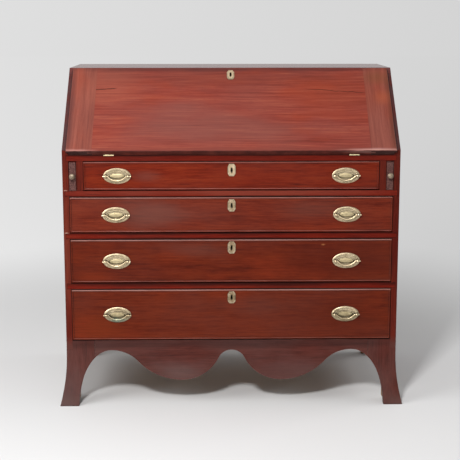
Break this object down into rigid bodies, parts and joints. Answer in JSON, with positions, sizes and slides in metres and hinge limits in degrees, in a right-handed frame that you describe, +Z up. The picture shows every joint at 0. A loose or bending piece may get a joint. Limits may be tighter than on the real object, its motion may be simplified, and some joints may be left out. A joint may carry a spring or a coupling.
{
  "type": "secretary desk",
  "caption": "Slant-front secretary desk in mahogany: fall-front lid over long cock-beaded drawers with brass bail pulls, lopers, scalloped skirt and flared French feet.",
  "frame": {"origin": "on the floor under the middle of the desk's bounding box", "axes": "+X to the right across the front, +Y towards the back, +Z up; the drawers open towards -Y"},
  "size_m": [1.104, 0.536, 1.072],
  "materials": {
    "case_mahogany": "worn polish",
    "lid_mahogany": "worn faded polish",
    "drawer_mahogany": "polish",
    "pine": "raw aged board",
    "brass": "tarnished"
  },
  "bodies": {
    "case": {"left_side": "case_mahogany", "right_side": "case_mahogany", "top_board": "case_mahogany", "bottom_board": "pine", "writing_board": "case_mahogany", "back_boards": "pine", "drawer_rails": "case_mahogany", "drawer_runners": "pine", "loper_partitions": "case_mahogany", "front_skirt": "case_mahogany", "side_skirts": "case_mahogany", "front_foot_faces": "case_mahogany", "front_foot_returns": "case_mahogany", "rear_feet": "case_mahogany", "rear_brackets": "pine", "foot_blocks": "pine", "gallery_shelf": "case_mahogany", "gallery_dividers": "case_mahogany", "pigeonhole_valances": "case_mahogany", "hinge_case_leaves": "brass"},
    "lid": {"lid_panel": "lid_mahogany", "lid_cleats": "lid_mahogany", "lid_lock": "brass", "hinge_lid_leaves": "brass"},
    "drawer_1": {"drawer_1_front": "drawer_mahogany", "drawer_1_cockbead": "drawer_mahogany", "drawer_1_box": "pine", "drawer_1_pull_plates": "brass", "drawer_1_lock": "brass"},
    "drawer_1_left_bail": {"drawer_1_left_bail": "brass"},
    "drawer_1_right_bail": {"drawer_1_right_bail": "brass"},
    "drawer_2": {"drawer_2_front": "drawer_mahogany", "drawer_2_cockbead": "drawer_mahogany", "drawer_2_box": "pine", "drawer_2_pull_plates": "brass", "drawer_2_lock": "brass"},
    "drawer_2_left_bail": {"drawer_2_left_bail": "brass"},
    "drawer_2_right_bail": {"drawer_2_right_bail": "brass"},
    "drawer_3": {"drawer_3_front": "drawer_mahogany", "drawer_3_cockbead": "drawer_mahogany", "drawer_3_box": "pine", "drawer_3_pull_plates": "brass", "drawer_3_lock": "brass"},
    "drawer_3_left_bail": {"drawer_3_left_bail": "brass"},
    "drawer_3_right_bail": {"drawer_3_right_bail": "brass"},
    "drawer_4": {"drawer_4_front": "drawer_mahogany", "drawer_4_cockbead": "drawer_mahogany", "drawer_4_box": "pine", "drawer_4_pull_plates": "brass", "drawer_4_lock": "brass"},
    "drawer_4_left_bail": {"drawer_4_left_bail": "brass"},
    "drawer_4_right_bail": {"drawer_4_right_bail": "brass"},
    "loper_left": {"loper_left": "case_mahogany", "loper_knob_left": "brass"},
    "loper_right": {"loper_right": "case_mahogany", "loper_knob_right": "brass"},
    "small_drawer_1": {"small_drawer_1": "drawer_mahogany"},
    "small_drawer_2": {"small_drawer_2": "drawer_mahogany"},
    "small_drawer_3": {"small_drawer_3": "drawer_mahogany"},
    "small_drawer_4": {"small_drawer_4": "drawer_mahogany"}
  },
  "joints": [
    {"name": "lid_fall", "type": "hinge", "parent": "case", "child": "lid", "pos_m": [0, -0.246, 0.8116], "axis": [1, 0, 0], "range_deg": [0, 133.5]},
    {"name": "drawer_1_slide", "type": "slide", "parent": "case", "child": "drawer_1", "axis": [0, -1, 0], "range_m": [0, 0.28]},
    {"name": "drawer_1_left_bail_swing", "type": "hinge", "parent": "drawer_1", "child": "drawer_1_left_bail", "pos_m": [-0.359, -0.2555, 0.74595], "axis": [-1, 0, 0], "range_deg": [0, 95]},
    {"name": "drawer_1_right_bail_swing", "type": "hinge", "parent": "drawer_1", "child": "drawer_1_right_bail", "pos_m": [0.359, -0.2555, 0.74595], "axis": [-1, 0, 0], "range_deg": [0, 95]},
    {"name": "drawer_2_slide", "type": "slide", "parent": "case", "child": "drawer_2", "axis": [0, -1, 0], "range_m": [0, 0.34]},
    {"name": "drawer_2_left_bail_swing", "type": "hinge", "parent": "drawer_2", "child": "drawer_2_left_bail", "pos_m": [-0.3647, -0.2555, 0.62175], "axis": [-1, 0, 0], "range_deg": [0, 95]},
    {"name": "drawer_2_right_bail_swing", "type": "hinge", "parent": "drawer_2", "child": "drawer_2_right_bail", "pos_m": [0.3647, -0.2555, 0.62175], "axis": [-1, 0, 0], "range_deg": [0, 95]},
    {"name": "drawer_3_slide", "type": "slide", "parent": "case", "child": "drawer_3", "axis": [0, -1, 0], "range_m": [0, 0.34]},
    {"name": "drawer_3_left_bail_swing", "type": "hinge", "parent": "drawer_3", "child": "drawer_3_left_bail", "pos_m": [-0.3647, -0.2555, 0.4725], "axis": [-1, 0, 0], "range_deg": [0, 95]},
    {"name": "drawer_3_right_bail_swing", "type": "hinge", "parent": "drawer_3", "child": "drawer_3_right_bail", "pos_m": [0.3647, -0.2555, 0.4725], "axis": [-1, 0, 0], "range_deg": [0, 95]},
    {"name": "drawer_4_slide", "type": "slide", "parent": "case", "child": "drawer_4", "axis": [0, -1, 0], "range_m": [0, 0.34]},
    {"name": "drawer_4_left_bail_swing", "type": "hinge", "parent": "drawer_4", "child": "drawer_4_left_bail", "pos_m": [-0.3647, -0.2555, 0.297], "axis": [-1, 0, 0], "range_deg": [0, 95]},
    {"name": "drawer_4_right_bail_swing", "type": "hinge", "parent": "drawer_4", "child": "drawer_4_right_bail", "pos_m": [0.3647, -0.2555, 0.297], "axis": [-1, 0, 0], "range_deg": [0, 95]},
    {"name": "loper_left_slide", "type": "slide", "parent": "case", "child": "loper_left", "axis": [0, -1, 0], "range_m": [0, 0.28]},
    {"name": "loper_right_slide", "type": "slide", "parent": "case", "child": "loper_right", "axis": [0, -1, 0], "range_m": [0, 0.28]},
    {"name": "small_drawer_1_slide", "type": "slide", "parent": "case", "child": "small_drawer_1", "axis": [0, -1, 0], "range_m": [0, 0.15]},
    {"name": "small_drawer_2_slide", "type": "slide", "parent": "case", "child": "small_drawer_2", "axis": [0, -1, 0], "range_m": [0, 0.15]},
    {"name": "small_drawer_3_slide", "type": "slide", "parent": "case", "child": "small_drawer_3", "axis": [0, -1, 0], "range_m": [0, 0.15]},
    {"name": "small_drawer_4_slide", "type": "slide", "parent": "case", "child": "small_drawer_4", "axis": [0, -1, 0], "range_m": [0, 0.15]}
  ]
}
